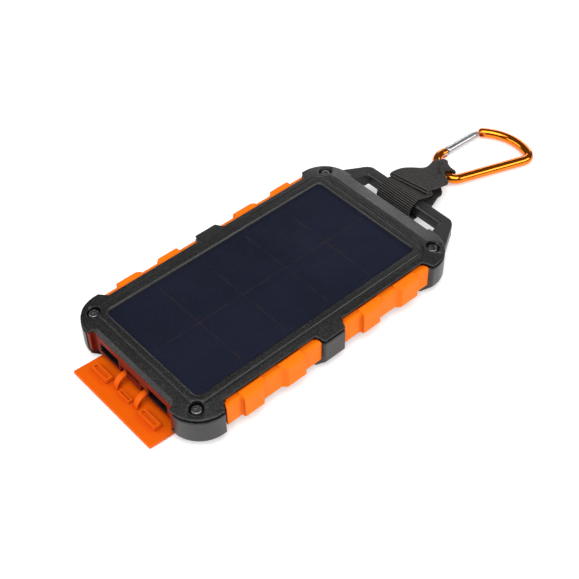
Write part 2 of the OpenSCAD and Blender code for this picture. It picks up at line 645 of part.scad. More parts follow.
gl = norm(g_tip - g_base);
module carabiner_gate() {
    color("#c9cbce") cara_frame() difference() {
        union() {
            // tube of the gate
            gate_frame() translate([0, 0.3, 0]) rotate([-90, 0, 0]) difference() {
                cylinder(r = 2.2, h = gl - 0.9 - 0.3);
                translate([0, 0, -1]) cylinder(r = 1.5, h = 6);
            }
            // hinge tang in the base's slot
            gate_frame() translate([0, 0, -0.75]) {
                translate([-1.45, -2.9, 0]) cube([2.9, 4.2, 1.5]);
                translate([0, -3.0, 0]) cylinder(r = 1.45, h = 1.5);
            }
            // tip that drops into the nose
            gate_frame() translate([-1.3, gl - 1.0, -0.65]) cube([2.6, 2.0, 1.3]);
        }
        translate([g_base[0] - 0.88, g_base[1] - 2.9, -5]) cylinder(r = 0.86, h = 10);
    }
}
module gate_pin() { color("#a8aaad") cara_frame() translate([g_base[0] - 0.88, g_base[1] - 2.9, -2.45]) cylinder(r = 0.8, h = 4.9); }
module gate_spring() {
    color("#b0b0b0") cara_frame() gate_frame() translate([0, 1.35, 0]) rotate([-90, 0, 0]) difference() {
        cylinder(r = 1.2, h = 3.8);
        translate([0, 0, -1]) cylinder(r = 0.8, h = 8);
    }
}

top_cover();
bottom_shell();
grip_band_left();
grip_band_right();
port_frame();
port_flap();
flap_tethers();
seal_gasket();
panel_cover_sheet();
solar_cells();
panel_backing();
panel_adhesive();
case_screws();
screw_inserts();
battery_cell_lower();
battery_cell_upper();
battery_foam();
protection_board();
battery_leads();
solar_leads();
main_board();
board_screws();
power_chips();
inductor();
capacitors();
usb_a_shell_left();
usb_a_tongue_left();
usb_a_shell_right();
usb_a_tongue_right();
usb_c_shell();
usb_c_tongue();
button_board();
tact_switch();
switch_plunger();
power_button();
indicator_leds();
light_pipes();
torch_led();
torch_reflector();
torch_lens();
lanyard_strap();
carabiner_body();
carabiner_gate();
gate_pin();
gate_spring();
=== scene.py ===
import json
import math

import bmesh
import bpy
import numpy as np
from mathutils import Matrix, Vector

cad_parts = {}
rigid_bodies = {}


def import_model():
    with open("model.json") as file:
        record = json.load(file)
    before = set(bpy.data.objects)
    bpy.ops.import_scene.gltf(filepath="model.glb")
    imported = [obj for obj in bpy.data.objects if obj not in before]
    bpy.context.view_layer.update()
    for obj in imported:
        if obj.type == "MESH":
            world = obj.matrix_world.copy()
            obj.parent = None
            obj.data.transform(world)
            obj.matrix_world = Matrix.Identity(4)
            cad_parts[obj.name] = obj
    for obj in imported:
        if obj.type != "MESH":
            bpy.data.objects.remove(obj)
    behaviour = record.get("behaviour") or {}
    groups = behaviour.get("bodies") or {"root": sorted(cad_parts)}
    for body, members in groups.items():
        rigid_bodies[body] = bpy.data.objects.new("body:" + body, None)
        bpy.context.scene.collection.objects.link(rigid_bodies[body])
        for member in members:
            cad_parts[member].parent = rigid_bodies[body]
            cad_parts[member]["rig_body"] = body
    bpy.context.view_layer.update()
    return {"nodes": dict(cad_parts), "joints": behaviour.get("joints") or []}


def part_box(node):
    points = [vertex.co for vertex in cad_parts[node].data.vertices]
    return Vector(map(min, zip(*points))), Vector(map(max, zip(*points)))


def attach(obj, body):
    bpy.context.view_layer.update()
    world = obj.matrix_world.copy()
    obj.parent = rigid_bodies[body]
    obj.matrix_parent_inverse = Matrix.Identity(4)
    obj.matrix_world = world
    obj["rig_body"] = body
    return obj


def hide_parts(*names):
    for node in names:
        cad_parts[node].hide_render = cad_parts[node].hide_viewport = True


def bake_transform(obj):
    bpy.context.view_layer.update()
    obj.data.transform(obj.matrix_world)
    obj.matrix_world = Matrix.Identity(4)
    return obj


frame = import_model()
N = frame["nodes"]
JOINTS = {j["name"]: j for j in frame["joints"]}
scene = bpy.context.scene
MM = 0.001


# ------------------------------------------------------------------ materials
class Mat:
    """A node material with its Principled shader and short helpers."""

    def __init__(self, name):
        self.m = bpy.data.materials.new(name)
        self.m.use_nodes = True
        self.t = self.m.node_tree
        self.t.nodes.clear()
        self.out = self.t.nodes.new("ShaderNodeOutputMaterial")
        self.b = self.t.nodes.new("ShaderNodeBsdfPrincipled")
        self.t.links.new(self.b.outputs[0], self.out.inputs[0])
        self.co = self.t.nodes.new("ShaderNodeTexCoord").outputs["Object"]

    def node(self, kind, **kw):
        n = self.t.nodes.new(kind)
        for k, v in kw.items():
            setattr(n, k, v)
        return n

    def link(self, a, b):
        self.t.links.new(a, b)

    def set(self, **kw):
        for k, v in kw.items():
            self.b.inputs[k.replace("_", " ")].default_value = v

    def noise(self, scale, detail=2.0, rough=0.5, co=None, dist=0.0):
        n = self.node("ShaderNodeTexNoise")
        n.inputs["Scale"].default_value = scale
        n.inputs["Detail"].default_value = detail
        n.inputs["Roughness"].default_value = rough
        n.inputs["Distortion"].default_value = dist
        self.link(co or self.co, n.inputs["Vector"])
        return n.outputs["Fac"]

    def voronoi(self, scale, co=None, feature="F1", out="Distance"):
        n = self.node("ShaderNodeTexVoronoi", feature=feature)
        n.inputs["Scale"].default_value = scale
        self.link(co or self.co, n.inputs["Vector"])
        return n.outputs[out]

    def stretch(self, sx, sy, sz, co=None):
        n = self.node("ShaderNodeMapping")
        n.inputs["Scale"].default_value = (sx, sy, sz)
        self.link(co or self.co, n.inputs["Vector"])
        return n.outputs[0]

    def math(self, op, a, b=0.0, c=0.0):
        n = self.node("ShaderNodeMath", operation=op)
        for i, v in enumerate((a, b, c)):
            if isinstance(v, (int, float)):
                n.inputs[i].default_value = v
            else:
                self.link(v, n.inputs[i])
        return n.outputs[0]

    def span(self, fac, lo, hi, a=0.0, b=1.0):
        n = self.node("ShaderNodeMapRange")
        n.inputs["From Min"].default_value = a
        n.inputs["From Max"].default_value = b
        n.inputs["To Min"].default_value = lo
        n.inputs["To Max"].default_value = hi
        self.link(fac, n.inputs["Value"])
        return n.outputs[0]

    def ramp(self, fac, stops):
        n = self.node("ShaderNodeValToRGB")
        e = n.color_ramp.elements
        while len(e) < len(stops):
            e.new(0.5)
        for k, (p, c) in enumerate(stops):
            e[k].position = p
            e[k].color = (*c, 1)
        self.link(fac, n.inputs[0])
        return n.outputs[0]

    def mix(self, fac, a, b, blend="MIX"):
        n = self.node("ShaderNodeMix", data_type="RGBA", blend_type=blend)
        for i, v in ((0, fac), (6, a), (7, b)):
            if isinstance(v, (int, float)):
                n.inputs[i].default_value = v
            elif isinstance(v, tuple):
                n.inputs[i].default_value = (*v, 1)
            else:
                self.link(v, n.inputs[i])
        return n.outputs[2]

    def bump(self, height, strength, distance, normal=None):
        n = self.node("ShaderNodeBump")
        n.inputs["Strength"].default_value = strength
        n.inputs["Distance"].default_value = distance
        self.link(height, n.inputs["Height"])
        if normal is not None:
            self.link(normal, n.inputs["Normal"])
        return n.outputs[0]

    def edges(self, radius=0.0005, lo=0.02, hi=0.25):
        """1 on convex and concave edges, 0 on flats."""
        bv = self.node("ShaderNodeBevel", samples=4)
        bv.inputs["Radius"].default_value = radius
        ge = self.node("ShaderNodeNewGeometry")
        d = self.node("ShaderNodeVectorMath", operation="DOT_PRODUCT")
        self.link(bv.outputs[0], d.inputs[0])
        self.link(ge.outputs["Normal"], d.inputs[1])
        inv = self.math("SUBTRACT", 1.0, d.outputs["Value"])
        return self.span(inv, 0.0, 1.0, lo, hi)

    def crevice_shade(self, distance=0.002, power=1.5):
        """Ambient-occlusion mask for painted shade: 1 in the open, falling towards 0 in corners and joints."""
        ao = self.node("ShaderNodeAmbientOcclusion", samples=6)
        ao.inputs["Distance"].default_value = distance
        return self.math("POWER", ao.outputs["AO"], power)

    def color(self, v):
        self.link(v, self.b.inputs["Base Color"])

    def rough(self, v):
        self.link(v, self.b.inputs["Roughness"])

    def normal(self, v):
        self.link(v, self.b.inputs["Normal"])


def case_plastic(name, dark, light, grain=1700.0, rlo=0.34, rhi=0.47, bump=0.55, wear_and_highlight=0.12, lo=0.44, hi=0.69):
    """Spark-eroded black plastic: fine grain, blotchy gloss, paler edges that are partly rubbed wear and partly painted
    highlight, and painted shade in crevices.
    """
    m = Mat(name)
    cells = m.noise(grain, 1.0, 0.5)
    fine = m.noise(grain * 2.3, 2.0, 0.6)
    big = m.noise(38.0, 3.0, 0.55)
    tone = m.math("ADD", m.math("MULTIPLY", cells, 0.7), m.math("MULTIPLY", fine, 0.3))
    col = m.ramp(tone, [(lo, dark), (hi, light)])
    # paler edge colour: partly rubbed wear, partly a painted highlight on the edges
    worn_lit_edge = tuple(min(1.0, c * 1.7 + 0.012) for c in light)
    edge = m.math("MULTIPLY", m.edges(0.0006), m.span(m.noise(160.0, 4.0, 0.7), 0.0, wear_and_highlight, 0.35, 0.7))
    # crevices darken towards 0.4 of the dark tone: painted shade
    m.color(m.mix(m.crevice_shade(0.0015, 1.0), tuple(c * 0.4 for c in dark), m.mix(edge, col, worn_lit_edge)))
    m.rough(m.math("ADD", m.span(big, rlo, rhi, 0.3, 0.7), m.math("MULTIPLY", edge, -0.1)))
    m.normal(m.bump(tone, bump, 0.00025))
    m.set(IOR=1.5)
    return m.m


def elastomer(name, base, deep, rlo=0.46, rhi=0.6):
    """Matt soft-touch rubber: even colour with faint flow marks, painted shade in corners and recesses, paler edges
    that are partly rubbed wear and partly painted highlight.
    """
    m = Mat(name)
    flow = m.noise(55.0, 3.0, 0.5, dist=0.6)
    fine = m.noise(1700.0, 2.0, 0.6)
    col = m.mix(m.span(flow, 0.0, 0.5, 0.3, 0.75), base, deep)
    edge = m.math("MULTIPLY", m.edges(0.0007), m.span(m.noise(120.0, 3.0, 0.7), 0.05, 0.3, 0.3, 0.7))
    # paler edge colour: partly rubbed wear, partly a painted highlight on the edges
    pale = tuple(min(1.0, c * 1.04 + 0.02) for c in base)
    # shade colour: painted shade in corners and recesses
    shade = tuple(c * k for c, k in zip(deep, (0.62, 0.4, 0.4)))
    m.color(m.mix(m.crevice_shade(0.003, 1.9), shade, m.mix(edge, col, pale)))
    m.rough(m.span(m.math("ADD", m.math("MULTIPLY", flow, 0.6), m.math("MULTIPLY", fine, 0.4)), rlo, rhi, 0.35, 0.65))
    m.normal(m.bump(fine, 0.22, 0.00008))
    m.set(IOR=1.42, Specular_IOR_Level=0.16)
    return m.m


def metal(name, base, deep, rough=0.2, spread=0.1, grain=(1, 1, 1), scale=600.0, bump=0.05, metallic=1.0):
    """Metal with drawn or rubbed marks, a slight change of colour and of gloss."""
    m = Mat(name)
    co = m.stretch(*grain)
    marks = m.noise(scale, 4.0, 0.7, co=co)
    big = m.noise(70.0, 3.0, 0.5)
    m.color(m.mix(m.span(big, 0.0, 1.0, 0.3, 0.7), base, deep))
    m.rough(m.span(marks, rough, rough + spread, 0.35, 0.7))
    m.normal(m.bump(marks, bump, 0.00003))
    m.set(Metallic=metallic)
    return m.m


def simple(name, base, deep, rough=0.5, scale=400.0, bump=0.15, **sockets):
    """Moulded or printed inner part: mottled colour, uneven gloss and fine texture."""
    m = Mat(name)
    n1 = m.noise(scale, 3.0, 0.6)
    n2 = m.noise(scale * 0.12, 3.0, 0.5)
    m.color(m.mix(m.span(n2, 0.0, 1.0, 0.3, 0.7), base, deep))
    m.rough(m.span(n1, rough - 0.08, rough + 0.1, 0.3, 0.7))
    m.normal(m.bump(n1, bump, 0.00005))
    m.set(**sockets)
    return m.m


def board_green():
    m = Mat("board_green")
    br = m.node("ShaderNodeTexBrick")
    br.inputs["Scale"].default_value = 260.0
    br.inputs["Color1"].default_value = (0.012, 0.11, 0.05, 1)
    br.inputs["Color2"].default_value = (0.016, 0.14, 0.06, 1)
    br.inputs["Mortar"].default_value = (0.02, 0.2, 0.09, 1)
    br.inputs["Mortar Size"].default_value = 0.06
    m.link(m.co, br.inputs["Vector"])
    m.color(br.outputs["Color"])
    m.rough(m.span(m.noise(300.0), 0.22, 0.4, 0.3, 0.7))
    m.normal(m.bump(br.outputs["Fac"], 0.2, 0.00004))
    return m.m


lo_s, hi_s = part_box("panel_cover_sheet")
lo_c, hi_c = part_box("solar_cells")


def solar_face(name, sheet):
    """Dark laminated cells: two columns of five, with thin brownish joints, fine fingers and busbars."""
    m = Mat(name)
    sep = m.node("ShaderNodeSeparateXYZ")
    m.link(m.co, sep.inputs[0])
    x, y = sep.outputs[0], sep.outputs[1]
    pitch_x = (hi_c.x - lo_c.x) / 2
    pitch_y = (hi_c.y - lo_c.y) / 5

    def lines(v, start, pitch, half, soft):
        # distance to the nearest multiple of the pitch, as a soft line
        q = m.math("DIVIDE", m.math("SUBTRACT", v, start), pitch)
        f = m.math("ABSOLUTE", m.math("SUBTRACT", q, m.math("ROUND", q)))
        return m.span(f, 1.0, 0.0, half / pitch, (half + soft) / pitch)

    gx = lines(x, lo_c.x, pitch_x, 0.00028, 0.00022)
    gy = lines(y, lo_c.y, pitch_y, 0.00028, 0.00022)
    xm, ym = (lo_c.x + hi_c.x) / 2, (lo_c.y + hi_c.y) / 2
    in_x = m.math("LESS_THAN", m.math("ABSOLUTE", m.math("SUBTRACT", x, xm)), (hi_c.x - lo_c.x) / 2 - 0.0012)
    in_y = m.math("LESS_THAN", m.math("ABSOLUTE", m.math("SUBTRACT", y, ym)), (hi_c.y - lo_c.y) / 2 - 0.0012)
    patchy = m.span(m.noise(120.0, 2.0, 0.5), 0.35, 1.0, 0.4, 0.6)
    joint = m.math("MULTIPLY", m.math("MAXIMUM", gx, gy), m.math("MULTIPLY", m.math("MULTIPLY", in_x, in_y), patchy))
    fingers = lines(y, lo_c.y, 0.0017, 0.00004, 0.00008)
    bus = lines(x, lo_c.x + pitch_x / 6, pitch_x / 3, 0.0002, 0.0002)
    blotch = m.noise(26.0, 3.0, 0.5)
    fine = m.noise(900.0, 2.0, 0.6)
    cell = m.mix(m.span(blotch, 0.0, 1.0, 0.32, 0.68), (0.0082, 0.0098, 0.0195), (0.0108, 0.0125, 0.0265))
    speck = m.mix(m.span(fine, 0.0, 0.35, 0.45, 0.75), cell, (0.018, 0.021, 0.04))
    lined = m.mix(m.math("MULTIPLY", m.math("MAXIMUM", fingers, bus), 0.05), speck, (0.026, 0.028, 0.046))
    m.color(m.mix(m.math("MULTIPLY", joint, 0.6), lined, (0.030, 0.020, 0.022)))
    m.rough(m.span(m.noise(60.0, 4.0, 0.6), 0.16, 0.3, 0.3, 0.7))
    m.normal(m.bump(m.noise(700.0, 2.0, 0.5), 0.05, 0.000012))
    m.set(IOR=1.4, Specular_IOR_Level=0.3)
    if sheet:
        m.set(Coat_Weight=0.25, Coat_Roughness=0.12)
    return m.m


def webbing(name):
    """Woven webbing: cross ribs and warp rows from the strap's own length and width coordinates, in millimetres."""
    m = Mat(name)
    uv = m.node("ShaderNodeUVMap")
    uv.uv_map = "UVMap"
    sep = m.node("ShaderNodeSeparateXYZ")
    m.link(uv.outputs[0], sep.inputs[0])
    s, v = sep.outputs[0], sep.outputs[1]
    rib = m.math("SINE", m.math("MULTIPLY", s, 2 * math.pi / 1.02))
    half = m.math("MULTIPLY", m.math("SINE", m.math("MULTIPLY", v, 2 * math.pi / 0.8)), m.math("COSINE", m.math("MULTIPLY", s, math.pi / 1.02)))
    weave = m.math("ADD", m.math("MULTIPLY", rib, 0.62), m.math("MULTIPLY", half, 0.38))
    fuzz = m.noise(2600.0, 3.0, 0.7)
    big = m.noise(90.0, 3.0, 0.5)
    tone = m.math("ADD", m.span(weave, 0.0, 1.0, -1.0, 1.0), m.math("MULTIPLY", m.math("SUBTRACT", fuzz, 0.5), 0.5))
    col = m.ramp(tone, [(0.36, (0.001, 0.001, 0.001)), (0.62, (0.009, 0.0083, 0.0076)), (0.92, (0.18, 0.165, 0.15))])
    m.color(m.mix(m.span(big, 0.0, 0.25, 0.35, 0.7), col, (0.02, 0.0195, 0.019)))
    m.rough(m.span(fuzz, 0.62, 0.85, 0.3, 0.7))
    m.set(Specular_IOR_Level=0.3)
    m.normal(m.bump(m.math("ADD", weave, m.math("MULTIPLY", fuzz, 0.6)), 0.8, 0.0002))
    m.set(Sheen_Weight=0.04, Sheen_Roughness=0.4)
    return m.m


M = {
    "case": case_plastic("case_black", (0.0015, 0.0015, 0.0016), (0.036, 0.035, 0.0345)),
    "case_low": case_plastic("case_black_side", (0.012, 0.012, 0.0125), (0.03, 0.03, 0.0305), grain=2200.0, rlo=0.33, rhi=0.45, bump=0.12),
    "orange": elastomer("grip_orange", (0.92, 0.19, 0.0015), (0.9, 0.165, 0.0012)),
    "flap": elastomer("flap_orange", (0.88, 0.128, 0.001), (0.84, 0.11, 0.001)),
    # port frame: the band's orange darkened to deep red, painted shade of the port recess
    "deep": elastomer("port_orange_painted_shade", (0.2, 0.016, 0.004), (0.15, 0.011, 0.003)),
    "panel": solar_face("solar_laminate", True),
    "cells": solar_face("cell_blue", False),
    "web": webbing("webbing_black"),
    "anod": metal("anodised_orange", (0.84, 0.225, 0.02), (0.76, 0.18, 0.013), 0.1, 0.07, (1, 1, 1), 380.0, 0.04, 0.95),
    "silver": metal("gate_silver", (0.6, 0.61, 0.62), (0.5, 0.51, 0.53), 0.26, 0.12, (1, 0.15, 1), 1500.0, 0.06, 0.88),
    "steel": metal("steel_plain", (0.56, 0.56, 0.55), (0.45, 0.45, 0.45), 0.26, 0.14, (1, 1, 0.2), 900.0, 0.08),
    "port": metal("port_steel", (0.1, 0.1, 0.105), (0.07, 0.07, 0.075), 0.3, 0.15, (1, 0.2, 1), 900.0, 0.06),
    "brass": metal("insert_brass", (0.62, 0.44, 0.16), (0.5, 0.34, 0.11), 0.25, 0.15, (1, 1, 4), 900.0, 0.2),
    "foil": metal("pouch_foil", (0.55, 0.56, 0.58), (0.46, 0.47, 0.49), 0.38, 0.16, (1, 1, 1), 120.0, 0.5),
    "chrome": metal("reflector_chrome", (0.84, 0.85, 0.87), (0.78, 0.79, 0.81), 0.06, 0.08, (1, 1, 1), 300.0, 0.03),
    "screw": metal("screw_black", (0.26, 0.26, 0.265), (0.16, 0.16, 0.165), 0.24, 0.16, (1, 1, 1), 700.0, 0.12, 0.9),
    "seal": simple("seal_rubber", (0.018, 0.018, 0.018), (0.026, 0.026, 0.026), 0.66),
    "board": board_green(),
    "foam": simple("foam_grey", (0.09, 0.09, 0.1), (0.13, 0.13, 0.14), 0.85, 1500.0, 0.7),
    "wire_red": simple("lead_red", (0.42, 0.015, 0.012), (0.34, 0.012, 0.01), 0.42, 500.0, 0.1),
    "chip": simple("chip_black", (0.012, 0.012, 0.013), (0.02, 0.02, 0.021), 0.5, 1500.0, 0.25),
    "cap": simple("capacitor_tan", (0.42, 0.3, 0.18), (0.5, 0.38, 0.24), 0.45, 900.0, 0.15),
    "white": simple("plunger_white", (0.6, 0.58, 0.5), (0.66, 0.64, 0.57), 0.45, 700.0, 0.1),
    "button": case_plastic("button_black", (0.014, 0.014, 0.015), (0.03, 0.03, 0.031), grain=2400.0, rlo=0.3, rhi=0.42, bump=0.15),
    "led": simple("led_yellow", (0.78, 0.66, 0.2), (0.85, 0.76, 0.34), 0.4, 900.0, 0.1),
    "lens": simple("lens_clear", (0.86, 0.9, 0.93), (0.8, 0.85, 0.9), 0.14, 300.0, 0.05, Transmission_Weight=0.75, IOR=1.49),
}
NODE_MATS = {
    "panel_backing": "board", "panel_adhesive": "seal", "seal_gasket": "seal", "solar_cells": "cells", "panel_cover_sheet": "panel",
    "case_screws": "screw", "screw_inserts": "brass", "battery_cell_lower": "foil", "battery_cell_upper": "foil", "battery_foam": "foam",
    "protection_board": "board", "battery_leads": "wire_red", "solar_leads": "wire_red", "main_board": "board", "board_screws": "steel",
    "power_chips": "chip", "inductor": "chip", "capacitors": "cap", "usb_a_shell_left": "port", "usb_a_shell_right": "port", "usb_c_shell": "port",
    "usb_a_tongue_left": "chip", "usb_a_tongue_right": "chip", "usb_c_tongue": "chip", "button_board": "board", "tact_switch": "chip",
    "switch_plunger": "white", "power_button": "button", "indicator_leds": "lens", "light_pipes": "lens", "torch_led": "led",
    "torch_reflector": "chrome", "torch_lens": "lens", "gate_pin": "steel", "gate_spring": "steel", "top_cover": "case", "bottom_shell": "case_low",
    "grip_band_left": "orange", "grip_band_right": "orange", "port_frame": "deep", "port_flap": "flap", "flap_tethers": "flap",
    "lanyard_strap": "web", "carabiner_body": "anod", "carabiner_gate": "silver",
}


def paint(o, key):
    o.data.materials.clear()
    o.data.materials.append(M[key])
    o.data.polygons.foreach_set("material_index", np.zeros(len(o.data.polygons), np.int32))


for n, k in NODE_MATS.items():
    paint(N[n], k)


# ------------------------------------------------------------------ mesh helpers
def link(o):
    scene.collection.objects.link(o)
    return o


def smooth(o, angle=32, weighted=True):
    o.data.polygons.foreach_set("use_smooth", np.ones(len(o.data.polygons), bool))
    o.data.set_sharp_from_angle(angle=math.radians(angle))
    if weighted:
        w = o.modifiers.new("weighted", "WEIGHTED_NORMAL")
        w.keep_sharp = True
        w.weight = 60
    return o


def from_bm(bm, name, scale=MM):
    bmesh.ops.scale(bm, vec=(scale,) * 3, verts=bm.verts)
    me = bpy.data.meshes.new(name)
    bm.to_mesh(me)
    bm.free()
    return link(bpy.data.objects.new(name, me))


def cad_bm(node):
    """The CAD node's mesh in millimetres, as a bmesh of its own faces."""
    me = N[node].data
    co = np.empty(len(me.vertices) * 3, np.float32)
    me.vertices.foreach_get("co", co)
    co = co.reshape(-1, 3) * 1000.0
    bm = bmesh.new()
    vs = [bm.verts.new(c) for c in co]
    for p in me.polygons:
        try:
            bm.faces.new([vs[i] for i in p.vertices])
        except ValueError:
            pass
    return bm


def skin(node, voxel=0.3, passes=4, keep=0.15):
    """The CAD shell's shape at fine pitch with its moulded edges rounded over."""
    o = link(bpy.data.objects.new(node + "_skin", N[node].data.copy()))
    md = o.modifiers.new("remesh", "REMESH")
    md.mode = "VOXEL"
    md.voxel_size = voxel * MM
    md.adaptivity = 0.0
    md = o.modifiers.new("soften", "SMOOTH")
    md.factor = 0.5
    md.iterations = passes
    md = o.modifiers.new("thin", "DECIMATE")
    md.ratio = keep
    bpy.context.view_layer.update()
    me = bpy.data.meshes.new_from_object(o.evaluated_get(bpy.context.evaluated_depsgraph_get()))
    o.modifiers.clear()
    o.data = me
    me.name = o.name
    me.materials.clear()
    me.materials.append(M[NODE_MATS[node]])
    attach(o, N[node]["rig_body"])
    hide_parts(node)
    smooth(o, 50, True)
    return o


def grid_mesh(rows, closed_u=False, closed_v=False, caps=False):
    """Faces of a grid of points, as (verts, faces)."""
    n, k = rows.shape[:2]
    faces = []
    for i in range(n if closed_u else n - 1):
        for j in range(k if closed_v else k - 1):
            a, b = i * k + j, ((i + 1) % n) * k + j
            c, d = ((i + 1) % n) * k + (j + 1) % k, i * k + (j + 1) % k
            faces.append((a, b, c, d))
    if caps:
        faces.append(tuple(range(k)))
        faces.append(tuple((n - 1) * k + j for j in reversed(range(k))))
    return rows.reshape(-1, 3), faces


def make(name, verts, faces, mat, body=None, scale=MM, sharp=32, weighted=True):
    me = bpy.data.meshes.new(name)
    me.from_pydata([tuple(float(c) * scale for c in v) for v in verts], [], faces)
    me.validate()
    o = link(bpy.data.objects.new(name, me))
    bm = bmesh.new()
    bm.from_mesh(me)
    bmesh.ops.recalc_face_normals(bm, faces=bm.faces)
    bm.to_mesh(me)
    bm.free()
    me.materials.append(M[mat])
    smooth(o, sharp, weighted)
    if body:
        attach(o, body)
    return o


def spline(points, per=12):
    """Catmull-Rom through rows of points (n, ..., 3)."""
    p = np.asarray(points, float)
    e = np.concatenate([[2 * p[0] - p[1]], p, [2 * p[-1] - p[-2]]])
    out = []
    for i in range(1, len(e) - 2):
        for t in np.linspace(0, 1, per, endpoint=False):
            out.append(0.5 * (2 * e[i] + (e[i + 1] - e[i - 1]) * t + (2 * e[i - 1] - 5 * e[i] + 4 * e[i + 1] - e[i + 2]) * t**2 + (3 * e[i] - e[i - 1] - 3 * e[i + 1] + e[i + 2]) * t**3))
    out.append(p[-1])
    return np.array(out)


# ------------------------------------------------------------------ case, bands, flap
for args in (
    ("top_cover", 0.3, 4, 0.2),
    ("bottom_shell", 0.36, 3, 0.15),
    ("grip_band_left", 0.26, 3, 0.3),
    ("grip_band_right", 0.26, 3, 0.3),
    ("port_frame", 0.22, 3, 0.3),
    ("port_flap", 0.16, 3, 0.3),
    ("power_button", 0.12, 4, 0.3),
):
    skin(*args)

# the plate's near edge reaches back under the port frame
flap_me = bpy.data.objects["port_flap_skin"].data
for v in flap_me.vertices:
    t = (v.co.y + 0.0743) / 0.0012
    if t > 0:
        v.co.y += 0.0008 * min(1.0, t)

# ------------------------------------------------------------------ screws
co = np.array([v.co[:] for v in N["case_screws"].data.vertices]) * 1000
verts, faces = [], []
for sx in (-1, 1):
    for sy in (-1, 1):
        q = co[(co[:, 0] * sx > 0) & (co[:, 1] * sy > 0)]
        lo, hi = q.min(0), q.max(0)
        cx, cy = (lo[0] + hi[0]) / 2, (lo[1] + hi[1]) / 2
        R = (hi[0] - lo[0]) / 2
        head = q[np.hypot(q[:, 0] - cx, q[:, 1] - cy) > R - 0.05][:, 2].min()
        shank = np.hypot(q[:, 0] - cx, q[:, 1] - cy)[q[:, 2] < head - 0.5].max()
        top, n = hi[2], 48
        turn = 0.35 * (sx + 2 * sy)
        prof = [(lo[2], shank * 0.6, 0), (lo[2] + 0.4, shank, 0), (head, shank, 0), (head, R - 0.08, 0), (head + 0.12, R, 0)]
        prof += [(head + 0.12 + (top - head - 0.12) * math.sin(t), R * (0.72 + 0.28 * math.cos(t)), 0) for t in np.radians((15, 30, 45, 62, 80))]
        prof += [(top, R * 0.68, 0), (top - 0.03, R * 0.6, 1), (top - 0.2, R * 0.55, 1), (top - 0.95, R * 0.5, 1), (top - 1.05, R * 0.2, 0.5)]
        rings = []
        for z, r, lobe in prof:
            rings.append([(cx + r * (1 + 0.17 * lobe * math.cos(6 * a + turn)) * math.cos(a), cy + r * (1 + 0.17 * lobe * math.cos(6 * a + turn)) * math.sin(a), z) for a in np.linspace(0, 2 * math.pi, n, endpoint=False)])
        v, f = grid_mesh(np.array(rings), closed_v=True, caps=True)
        faces += [tuple(i + len(verts) for i in t) for t in f]
        verts += list(v)
screws = make("case_screw_heads", verts, faces, "screw", "case", sharp=38)
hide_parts("case_screws")

# ------------------------------------------------------------------ tethers between port face and flap
lo_f, hi_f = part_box("port_frame")
lo_p, hi_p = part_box("port_flap")
lo_t, hi_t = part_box("flap_tethers")
hinge = JOINTS["flap_hinge"]["pos_m"]
face_y = -74.85
t_mid = ((lo_t.x + hi_t.x) / 2) * 1000
path = spline([(-71.9, 7.3), (-73.4, 7.35), (-75.2, 7.25), (-77.0, 6.7), (-78.4, 5.5), (-79.2, 4.1), (-79.75, 2.75), (-79.95, 1.6)], 6)
verts, faces = [], []
for side in (-1, 1):
    xc = t_mid + side * 7.2
    tang = np.gradient(path, axis=0)
    tang /= np.linalg.norm(tang, axis=1)[:, None]
    nrm = np.stack([-tang[:, 1], tang[:, 0]], 1)
    rows = []
    for i, (p, n) in enumerate(zip(path, nrm)):
        # widens into the face and into the plate
        t = i / (len(path) - 1)
        hw = 1.5 + 0.35 * max(0, (0.25 - t) / 0.25) ** 2 + 0.5 * max(0, (t - 0.75) / 0.25) ** 2
        th = 0.55 + 0.2 * max(0, (t - 0.7) / 0.3) ** 2
        ring = []
        for k in range(16):
            a = 2 * math.pi * k / 16
            c, s = math.cos(a), math.sin(a)
            cx = math.copysign(abs(c) ** 0.45, c) * hw
            cz = math.copysign(abs(s) ** 0.45, s) * th
            ring.append((xc + cx, p[0] + n[0] * cz, p[1] + n[1] * cz))
        rows.append(ring)
    v, f = grid_mesh(np.array(rows), closed_v=True, caps=True)
    faces += [tuple(i + len(verts) for i in q) for q in f]
    verts += list(v)
tethers = make("flap_tether_straps", verts, faces, "flap", None, sharp=60)
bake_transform(tethers)
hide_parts("flap_tethers")

# ------------------------------------------------------------------ carabiner
j = JOINTS["carabiner_swing"]
O = np.array(j["pos_m"]) * 1000
ax_u = -np.array(j["axis"]) / np.linalg.norm(j["axis"])  # across, away from the spine
ax_w = -np.array(JOINTS["gate_hinge"]["axis"])
ax_w = ax_w / np.linalg.norm(ax_w)
ax_v = np.cross(ax_u, ax_w)
ax_v = ax_v / np.linalg.norm(ax_v)
if ax_v[1] < 0:
    ax_v = -ax_v


def W(u, v, w=0.0):
    return O + ax_u * u + ax_v * v + ax_w * w


LEAN = math.radians(17.7)
GB = np.array([21.65, 8.9])
GT = np.array([28.75, 31.2])
GL = float(np.linalg.norm(GT - GB))
TC = np.array([5.2 - 18.8 * math.cos(math.radians(96)), 42.3 - 18.8 * math.sin(math.radians(96))])


def arc(c, r, a0, a1, n):
    a = np.radians(np.linspace(a0, a1, n))
    return [(c[0] + r * math.cos(t), c[1] + r * math.sin(t)) for t in a]


